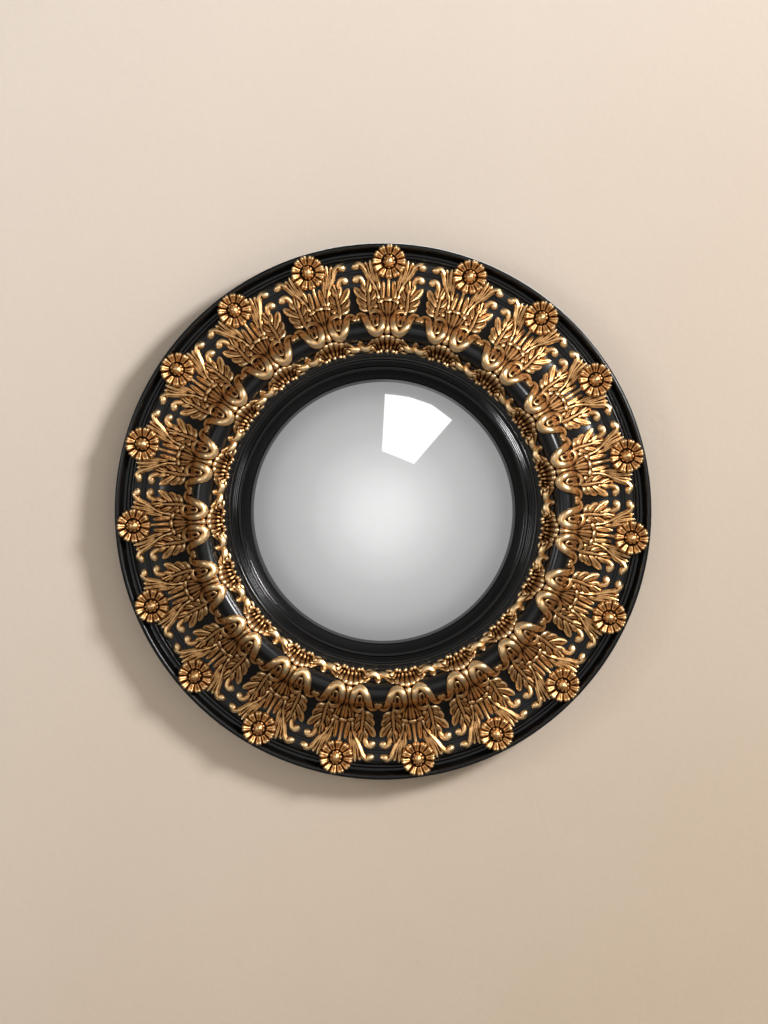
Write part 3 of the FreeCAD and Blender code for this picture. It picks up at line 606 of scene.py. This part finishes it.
def wear_and_shade_of(mesh):
    """Stores on each point how far it stands out of what is round it, 0 in a hollow to 1 on an edge; the
    bronze reads it as real patina and rubbing, and also as painted shade in hollows and painted highlight on
    edges.
    """
    count = len(mesh.vertices)
    places = np.empty(count * 3)
    mesh.vertices.foreach_get("co", places)
    places = places.reshape(-1, 3) / MM
    normals = np.empty(count * 3)
    mesh.vertex_normals.foreach_get("vector", normals)
    normals = normals.reshape(-1, 3)
    edges = np.empty(len(mesh.edges) * 2, dtype=int)
    mesh.edges.foreach_get("vertices", edges)
    edges = edges.reshape(-1, 2)
    degree = np.bincount(edges.ravel(), minlength=count)[:, None]
    spread, total = places.copy(), np.zeros(count)
    for step in range(1, max(WEAR_AND_SHADE_ROUNDS) + 1):
        summed = np.zeros_like(spread)
        np.add.at(summed, edges[:, 0], spread[edges[:, 1]])
        np.add.at(summed, edges[:, 1], spread[edges[:, 0]])
        spread = summed / np.maximum(degree, 1)
        if step in WEAR_AND_SHADE_ROUNDS:
            total += ((places - spread) * normals).sum(axis=1) / math.sqrt(step)
    wear_and_shade = 1 / (1 + np.exp(-total * WEAR_AND_SHADE_CONTRAST))
    layer = mesh.attributes.new("wear_and_shade", "FLOAT", "POINT")
    layer.data.foreach_set("value", wear_and_shade.astype(np.float32))


def cast_ring(kind, mesh, material):
    """One piece for each unit, all from one mesh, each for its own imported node."""
    wear_and_shade_of(mesh)
    mesh.materials.append(material)
    for unit in range(UNITS):
        node = f"{kind}_{unit + 1:02d}"
        piece = add_object("cast_" + node, mesh)
        piece.rotation_euler = (0, math.radians(UNIT_TURN + unit * UNIT_PITCH), 0)
        bpy.context.view_layer.update()
        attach(piece, "mirror")
        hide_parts(node)


# ---------------------------------------------------------------- materials

class Paint:
    """A node material, built up from its principled shader."""

    def __init__(self, name, **values):
        self.material = bpy.data.materials.new(name)
        self.material.use_nodes = True
        self.nodes, self.links = self.material.node_tree.nodes, self.material.node_tree.links
        self.shader = self.nodes["Principled BSDF"]
        for socket, value in values.items():
            self.shader.inputs[socket.replace("_", " ")].default_value = value

    def node(self, kind, **inputs):
        made = self.nodes.new(kind)
        for socket, value in inputs.items():
            self.feed(made.inputs[socket.replace("_", " ")], value)
        return made

    def feed(self, socket, value):
        if isinstance(value, bpy.types.NodeSocket):
            self.links.new(value, socket)
        else:
            socket.default_value = value

    def noise(self, scale, detail=4.0, roughness=0.55, stretch=(1, 1, 1)):
        """Noise in the row frame's metres; stretch scales each axis."""
        place = self.node("ShaderNodeTexCoord").outputs["Object"]
        mapping = self.node("ShaderNodeMapping", Vector=place, Scale=stretch)
        return self.node("ShaderNodeTexNoise", Vector=mapping.outputs[0], Scale=scale, Detail=detail,
                         Roughness=roughness).outputs[0]

    def ramp(self, value, *stops):
        """Colour or grey read from (place, colour) stops."""
        made = self.node("ShaderNodeValToRGB", Fac=value)
        set_stops(made, stops)
        return made.outputs[0]

    def math(self, operation, first, second):
        made = self.nodes.new("ShaderNodeMath")
        made.operation = operation
        self.feed(made.inputs[0], first)
        self.feed(made.inputs[1], second)
        return made.outputs[0]

    def blend(self, factor, first, second, how="MIX"):
        made = self.nodes.new("ShaderNodeMix")
        made.data_type, made.blend_type = "RGBA", how
        self.feed(made.inputs["Factor"], factor)
        for socket, value in ((6, first), (7, second)):
            self.feed(made.inputs[socket], (*value, 1) if isinstance(value, tuple) else value)
        return made.outputs[2]

    def bump(self, height, strength, distance):
        made = self.node("ShaderNodeBump", Height=height, Strength=strength, Distance=distance)
        self.links.new(made.outputs[0], self.shader.inputs["Normal"])

    def set(self, socket, value):
        self.feed(self.shader.inputs[socket], value)


def set_stops(ramp, stops):
    """Fills a colour ramp from stops of a place and a colour or grey."""
    elements = ramp.color_ramp.elements
    while len(elements) < len(stops):
        elements.new(0.5)
    for element, (place, colour) in zip(elements, stops):
        element.position = place
        element.color = (*colour, 1) if isinstance(colour, tuple) else (colour, colour, colour, 1)


def bronze_paint():
    """Antique bronze gilding with warm faces; edges lighter, partly real rubbing and partly painted
    highlight; hollows near-black, partly real patina and partly painted shade.
    """
    paint = Paint("antique_bronze_gilt", Metallic=1.0)
    wear_and_shade = paint.node("ShaderNodeAttribute")
    wear_and_shade.attribute_name = "wear_and_shade"
    cloud = paint.math("MULTIPLY", paint.math("SUBTRACT", paint.noise(220.0), 0.5), 0.35)
    mottled_wear_and_shade = paint.math("ADD", wear_and_shade.outputs["Fac"], cloud)
    # painted shade and highlight, with real patina and rubbing: colour runs from near-black in hollows to
    # pale gold on raised edges
    paint.set("Base Color", paint.ramp(mottled_wear_and_shade, (0.20, (0.004, 0.002, 0.001)), (0.40, (0.042, 0.018, 0.007)),
                                       (0.50, (0.44, 0.212, 0.076)), (0.66, (0.84, 0.515, 0.222)),
                                       (0.88, (1.0, 0.76, 0.45))))
    paint.set("Roughness", paint.ramp(mottled_wear_and_shade, (0.15, 0.70), (0.50, 0.46), (0.85, 0.38)))
    paint.bump(paint.noise(900.0, 6.0), 0.25, 0.0003)
    return paint.material


def ebony_paint(name, gloss, shine):
    """Ebonised wood under satin polish that is glossier in some places than others, with a cloudy tone and a
    fine bump.
    """
    paint = Paint(name, Metallic=0.0)
    cloud = paint.noise(14.0, 5.0)
    fine = paint.noise(260.0, 5.0)
    paint.set("Base Color", paint.ramp(cloud, (0.30, (0.0022, 0.0021, 0.0021)),
                                       (0.75, (0.0052, 0.0049, 0.0047))))
    mixed = paint.math("ADD", paint.math("MULTIPLY", cloud, 0.5), paint.math("MULTIPLY", fine, 0.5))
    paint.set("Roughness", paint.ramp(mixed, (0.30, gloss), (0.70, gloss + 0.07)))
    paint.shader.inputs["Specular IOR Level"].default_value = shine
    paint.shader.inputs["Coat Weight"].default_value = shine / 2
    paint.shader.inputs["Coat Roughness"].default_value = 0.16
    paint.bump(fine, 0.05, 0.0002)
    return paint.material


def mirror_paint():
    """Silvered glass with the faintest tint."""
    paint = Paint("silvered_glass", Metallic=1.0, Roughness=0.03)
    tint = paint.noise(30.0, 2.0)
    paint.set("Base Color", paint.ramp(tint, (0.2, (0.885, 0.885, 0.880)), (0.8, (0.915, 0.915, 0.910))))
    return paint.material


def mirror_back_paint():
    """Grey protective paint on the back of the glass."""
    paint = Paint("mirror_back", Roughness=0.6)
    grey = paint.ramp(paint.noise(60.0), (0.3, (0.10, 0.10, 0.11)), (0.7, (0.16, 0.16, 0.17)))
    paint.set("Base Color", grey)
    return paint.material


def board_paint():
    """Stained back board with long grain."""
    paint = Paint("back_board", Roughness=0.72)
    grain = paint.noise(60.0, 8.0, 0.65, (8.0, 1.0, 0.45))
    rings = paint.noise(11.0, 3.0, 0.5, (5.0, 1.0, 0.35))
    mixed = paint.math("ADD", paint.math("MULTIPLY", grain, 0.6), paint.math("MULTIPLY", rings, 0.4))
    paint.set("Base Color", paint.ramp(mixed, (0.32, (0.115, 0.062, 0.030)), (0.52, (0.24, 0.145, 0.075)),
                                       (0.70, (0.33, 0.215, 0.120))))
    paint.bump(grain, 0.2, 0.0004)
    return paint.material


def cork_paint():
    """Cork of the packing blocks."""
    paint = Paint("cork", Roughness=0.85)
    cells = paint.noise(420.0, 6.0, 0.7)
    paint.set("Base Color", paint.ramp(cells, (0.35, (0.15, 0.082, 0.038)), (0.6, (0.45, 0.29, 0.16))))
    paint.bump(cells, 0.5, 0.0006)
    return paint.material


def metal_paint(name, dark, light, smoothness):
    """Handled metal: cloudy colour, fine scratches and uneven polish."""
    paint = Paint(name, Metallic=1.0)
    cloud = paint.noise(170.0, 5.0)
    scratch = paint.noise(900.0, 3.0, 0.5, (1.0, 1.0, 7.0))
    paint.set("Base Color", paint.ramp(cloud, (0.30, dark), (0.72, light)))
    paint.set("Roughness", paint.ramp(cloud, (0.30, smoothness + 0.22), (0.75, smoothness)))
    paint.bump(scratch, 0.12, 0.0002)
    return paint.material


def repaint(node, material):
    """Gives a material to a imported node, in its object's slots."""
    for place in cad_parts[node].material_slots:
        place.link = "OBJECT"
        place.material = material


# ---------------------------------------------------------------- the pieces

def build_mirror():
    """Turned rings, glass, castings and hardware, and finishes for the nodes that stay."""
    ebony = ebony_paint("ebonised_frame", 0.27, 0.30)
    slip_ebony = ebony_paint("ebonised_slip", 0.14, 0.34)
    for name, node, section in (("frame_ring", "outer_frame", frame_section()),
                                ("land_ring", "back_ring", land_section()),
                                ("cushion_ring", "cushion_moulding", cushion_section())):
        dress(turned(name, section), ebony, node)
    slip = turned("slip_ring", slip_section())
    dress(slip, slip_ebony, "reeded_slip")
    darken_bevel(slip)
    glass = turned("bowed_glass", glass_section())
    dress(glass, mirror_paint(), "convex_glass")
    glass.data.materials.append(mirror_back_paint())
    for face in glass.data.polygons:
        face.material_index = 0 if face.normal.y < -SILVER_FACING else 1

    bronze = bronze_paint()
    crest = crest_casting().cast("crest", Seat().place, CREST_VOXEL, CREST_SHARE)
    cast_ring("acanthus_crest", crest, bronze)
    rosette = rosette_casting().cast("rosette", flat_place, ROSETTE_VOXEL, ROSETTE_SHARE)
    cast_ring("rosette", rosette, bronze)

    brass = metal_paint("dull_brass", (0.30, 0.19, 0.075), (0.58, 0.41, 0.18), 0.30)
    steel = metal_paint("dark_screws", (0.10, 0.095, 0.09), (0.26, 0.25, 0.24), 0.34)
    build_hardware(brass, steel)
    repaint("backing_board", board_paint())
    repaint("packing_blocks", cork_paint())
    repaint("hanger_strap", brass)


def dress(piece, material, node):
    """Material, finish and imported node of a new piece."""
    piece.data.materials.append(material)
    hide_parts(node)


def darken_bevel(slip):
    """The bevel beside the glass is dull black, without the reeds' polish."""
    slip.data.materials.append(ebony_paint("ebonised_bevel", 0.34, 0.06))
    for face in slip.data.polygons:
        middle = face.center
        if math.hypot(middle.x, middle.z) < BEVEL_TOP * MM:
            face.material_index = 1


def build_hardware(brass, steel):
    """Buttons with eased edges, slotted screws and the smooth wire ring."""
    for number in range(BUTTONS):
        turn = math.radians(BUTTON_FIRST_TURN + number * 360 / BUTTONS)
        button = loft(f"brass_button_{number + 1}", button_rings(turn), f"button_{number + 1}")
        place = (BUTTON_PIVOT * math.sin(turn), BUTTON_PIVOT * math.cos(turn))
        slot_turn = turn + BUTTON_SLOT_TURN * number
        screw = make_screw(f"button_screw_{number + 1}", place, BUTTON_FACE, slot_turn)
        dress(button, brass, f"turn_button_{number + 1}")
        dress(screw, steel, "button_screws")
    for number, up in enumerate(STRAP_SCREWS):
        screw = make_screw(f"strap_screw_{number + 1}", (0, up), STRAP_FACE, STRAP_SLOT_TURN + number)
        dress(screw, steel, "strap_screws")
    dress(ring_wire(), brass, "hanging_ring")


def button_rings(turn):
    """Button's outline at four heights: eased at the back, flat on the board."""
    rings = []
    for height, inset in ((BUTTON_BACK, 0.7), (BUTTON_BACK + 0.25, 0.2), (BUTTON_BACK + 0.7, 0.0),
                          (BUTTON_FRONT, 0.0)):
        outline = []
        for end, way, corner in ((-BUTTON_REACH, 1, REACH_CORNER), (BUTTON_TAIL, -1, TAIL_CORNER)):
            for angle in np.radians(np.linspace(0, 180, 13)):
                wide, deep = math.cos(angle), math.sin(angle)
                side = math.copysign(abs(wide) ** BUTTON_ROUNDNESS, wide) * -way
                along = end + way * inset + corner * way * (1 - deep ** BUTTON_ROUNDNESS)
                outline.append(((BUTTON_HALF - inset) * side, along))
        across, along = np.array(outline).T
        up = BUTTON_PIVOT + along
        rings.append(np.column_stack([across * math.cos(turn) + up * math.sin(turn),
                                      np.full(len(up), height),
                                      up * math.cos(turn) - across * math.sin(turn)]))
    return rings


def make_screw(name, place, seat, turn):
    """Round-headed screw with a driver's slot cut across its head."""
    screw = loft(name, screw_rings(place, seat), "mirror")
    corners = []
    for along, beside in ((-1, -1), (1, -1), (1, 1), (-1, 1)):
        x, z = along * SLOT_LENGTH / 2, beside * SLOT_WIDTH / 2
        corners.append((place[0] + x * math.cos(turn) + z * math.sin(turn),
                        place[1] - x * math.sin(turn) + z * math.cos(turn)))
    bottom = seat - HEAD_RISE + SLOT_DEPTH
    rings = [np.array([(x, height, z) for x, z in corners]) for height in (bottom, bottom - CUTTER_RISE)]
    cutter = loft("slot_cutter", rings, None)
    cut = screw.modifiers.new("slot", "BOOLEAN")
    cut.operation, cut.solver, cut.object = "DIFFERENCE", "EXACT", cutter
    graph = bpy.context.evaluated_depsgraph_get()
    done = bpy.data.meshes.new_from_object(screw.evaluated_get(graph))
    screw.modifiers.clear()
    screw.data = done
    smooth(done, SHARP_ANGLE)
    bpy.data.objects.remove(cutter)
    return screw


def screw_rings(place, seat):
    """Screw from its point to the top of its round head."""
    head = ((1, 0), (1, 0.25), (0.86, 0.85), (0.6, 1.3), (0.3, HEAD_RISE - 0.03), (0.12, HEAD_RISE))
    rings = [(0.1, SCREW_TIP), (SHANK_RADIUS, SCREW_TIP - 3), (SHANK_RADIUS, seat)]
    rings += [(share * HEAD_RADIUS, seat - rise) for share, rise in head]
    return [circle(radius, height, SCREW_STEPS, place) for radius, height in rings]


def ring_wire():
    """Smooth wire ring: bar in the barrel, rounded corners, two sides and a round top."""
    corner = RING_CORNER
    path = [(0.0, 0.0), (RING_HALF - corner, 0.0)]
    path += arc(RING_HALF - corner, corner, corner, corner, start=-80, end=-10, steps=7)
    path += [(RING_HALF, corner), (RING_HALF, RING_SIDE)]
    path += arc(0, RING_SIDE, RING_HALF, RING_HALF, start=6, end=90, steps=14)
    path += [(-across, up) for across, up in path[-2:0:-1]]
    line = np.array(path)
    way = np.roll(line, -1, axis=0) - np.roll(line, 1, axis=0)
    way /= np.linalg.norm(way, axis=1, keepdims=True)
    turns = np.arange(WIRE_SIDES) * 2 * math.pi / WIRE_SIDES
    side, front = WIRE_RADIUS * np.cos(turns), WIRE_RADIUS * np.sin(turns)
    rings, faces = [], []
    for row, ((across, up), (x, z)) in enumerate(zip(line, way)):
        rings.append(np.column_stack([across - z * side, RING_HEIGHT + front, RING_AXIS + up + x * side]))
        faces += band(row * WIRE_SIDES, (row + 1) % len(line) * WIRE_SIDES, WIRE_SIDES)
    return make_object("ring_wire", np.vstack(rings), faces, "ring")


# ---------------------------------------------------------------- wall, lights and camera

def make_wall():
    """Plaster wall that is seen from the front only, so that the back can be looked at."""
    paint = Paint("plaster_wall", Roughness=0.9)
    paint.shader.inputs["Specular IOR Level"].default_value = 0.2
    place = paint.node("ShaderNodeTexCoord").outputs["Object"]
    split = paint.node("ShaderNodeSeparateXYZ", Vector=place)
    # painted light: the plaster's colour is lighter up and to the right and darker down and to the left; the
    # cloud added to it is random tone
    slope = paint.math("ADD", paint.math("MULTIPLY", split.outputs["X"], -0.30),
                       paint.math("MULTIPLY", split.outputs["Z"], 0.36))
    cloud = paint.math("MULTIPLY", paint.math("SUBTRACT", paint.noise(6.0, 3.0), 0.5), 0.06)
    painted_light_and_mottle = paint.math("ADD", paint.math("ADD", slope, cloud), 0.5)
    paint.set("Base Color", paint.ramp(painted_light_and_mottle, (0.30, (0.43, 0.350, 0.272)), (0.70, (0.625, 0.560, 0.503))))
    paint.bump(paint.noise(150.0, 5.0, 0.6), 0.2, 0.0012)
    clear = paint.node("ShaderNodeBsdfTransparent")
    mix = paint.node("ShaderNodeMixShader", Fac=paint.node("ShaderNodeNewGeometry").outputs["Backfacing"])
    paint.links.new(paint.shader.outputs[0], mix.inputs[1])
    paint.links.new(clear.outputs[0], mix.inputs[2])
    paint.links.new(mix.outputs[0], paint.nodes["Material Output"].inputs["Surface"])
    # a hole hidden behind the mirror lets the lamps light its back
    rings = [circle(radius, WALL_GAP, WALL_STEPS) for radius in (WALL_HOLE, WALL_REACH)]
    wall = plane("wall", np.vstack(rings).tolist(), band(0, WALL_STEPS, WALL_STEPS))
    wall.data.materials.append(paint.material)
    wall.visible_glossy = False


def make_floor():
    """Plain pale floor, well below the mirror."""
    paint = Paint("pale_floor", Roughness=0.8)
    pale = paint.ramp(paint.noise(9.0), (0.3, (0.66, 0.63, 0.59)), (0.7, (0.70, 0.67, 0.63)))
    paint.set("Base Color", pale)
    signs = ((-1, -1), (1, -1), (1, 1), (-1, 1))
    corners = [(x * FLOOR_HALF, y * FLOOR_HALF, -FLOOR_DEPTH) for x, y in signs]
    floor = plane("floor", corners, [(0, 1, 2, 3)])
    floor.data.materials.append(paint.material)
    floor.visible_glossy = False


def plane(name, corners, faces):
    """Flat piece of the set, from points in metres."""
    mesh = bpy.data.meshes.new(name)
    mesh.from_pydata(corners, [], faces)
    piece = add_object(name, mesh)
    return piece


def glass_sees(pixel, distance):
    """Point in the room, that far in front of the wall, that the bowed glass shows at a pixel."""
    eye = Vector((0, -CAMERA_DISTANCE, 0))
    seen = Vector(((pixel[0] - FRAME_MIDDLE[0]) * PIXEL, 0, (FRAME_MIDDLE[1] - pixel[1]) * PIXEL))
    centre = Vector((0, -BOW_CENTRE * MM, 0))
    near = min(intersect_line_sphere(eye, seen, centre, BOW_RADIUS * MM, False), key=lambda point: point.y)
    bounce = (near - eye).reflect((near - centre).normalized())
    return tuple(near - bounce * ((distance + near.y) / bounce.y))


def make_soft_box_reflection():
    """White glowing panel where the room's soft box would stand; it is no lamp and lights nothing, and shows
    only as a painted reflection in the glass and other gloss, not to the camera.
    """
    material = bpy.data.materials.new("soft_box_reflection")
    material.use_nodes = True
    nodes = material.node_tree.nodes
    nodes.clear()
    glow = nodes.new("ShaderNodeEmission")
    glow.inputs["Strength"].default_value = REFLECTION_GLOW
    out = nodes.new("ShaderNodeOutputMaterial")
    material.node_tree.links.new(glow.outputs[0], out.inputs["Surface"])
    corners = [glass_sees(pixel, BOX_DISTANCE) for pixel in BOX_PIXELS]
    box = plane("soft_box_reflection", corners, [tuple(range(len(corners)))])
    box.data.materials.append(material)
    box.visible_camera = False
    box.visible_diffuse = False
    box.visible_shadow = False


def add_lamp(name, place, size, power, colour):
    """Round area lamp aimed at the mirror."""
    lamp = bpy.data.lights.new(name, "AREA")
    lamp.shape, lamp.size, lamp.energy, lamp.color = "DISK", size, power, colour
    holder = add_object(name, lamp)
    holder.location = place
    holder.rotation_euler = (-Vector(place)).to_track_quat("-Z", "Y").to_euler()


def make_room():
    """Soft room light; what gloss and the mirror see falls off away from the camera's side."""
    world = bpy.data.worlds.new("room")
    bpy.context.scene.world = world
    world.use_nodes = True
    nodes, links = world.node_tree.nodes, world.node_tree.links
    nodes.clear()
    out = nodes.new("ShaderNodeOutputWorld")
    paths = nodes.new("ShaderNodeLightPath")
    place = nodes.new("ShaderNodeTexCoord")
    split = nodes.new("ShaderNodeSeparateXYZ")
    links.new(place.outputs["Generated"], split.inputs[0])
    front = nodes.new("ShaderNodeMath")
    front.operation = "MULTIPLY"
    links.new(split.outputs["Y"], front.inputs[0])
    front.inputs[1].default_value = -1
    ramp = nodes.new("ShaderNodeValToRGB")
    links.new(front.outputs[0], ramp.inputs[0])
    set_stops(ramp, ROOM_SEEN)
    plain = nodes.new("ShaderNodeBackground")
    plain.inputs["Color"].default_value = ROOM_COLOUR
    plain.inputs["Strength"].default_value = ROOM_STRENGTH
    seen = nodes.new("ShaderNodeBackground")
    links.new(ramp.outputs[0], seen.inputs["Color"])
    pale = nodes.new("ShaderNodeBackground")
    pale.inputs["Color"].default_value = BACKDROP_COLOUR
    first, second = nodes.new("ShaderNodeMixShader"), nodes.new("ShaderNodeMixShader")
    links.new(paths.outputs["Is Glossy Ray"], first.inputs[0])
    links.new(plain.outputs[0], first.inputs[1])
    links.new(seen.outputs[0], first.inputs[2])
    links.new(paths.outputs["Is Camera Ray"], second.inputs[0])
    links.new(first.outputs[0], second.inputs[1])
    links.new(pale.outputs[0], second.inputs[2])
    links.new(second.outputs[0], out.inputs["Surface"])


def make_camera():
    """Long lens square to the wall, placed so that the frame falls where the photograph has it."""
    lens = bpy.data.cameras.new("camera")
    lens.sensor_fit = "VERTICAL"
    lens.sensor_height = SENSOR_HEIGHT
    lens.lens = SENSOR_HEIGHT * CAMERA_DISTANCE / (PHOTO_SIZE[1] * PIXEL)
    lens.clip_end = VIEW_END
    camera = add_object("camera", lens)
    camera.location = ((PHOTO_SIZE[0] / 2 - FRAME_MIDDLE[0]) * PIXEL, -CAMERA_DISTANCE,
                       (FRAME_MIDDLE[1] - PHOTO_SIZE[1] / 2) * PIXEL)
    camera.rotation_euler = (math.radians(90), 0, 0)
    bpy.context.scene.camera = camera


build_mirror()
make_wall()
make_floor()
make_soft_box_reflection()
make_room()
for lamp in LAMPS:
    add_lamp(*lamp)
make_camera()
bpy.context.scene.view_settings.view_transform = "Standard"
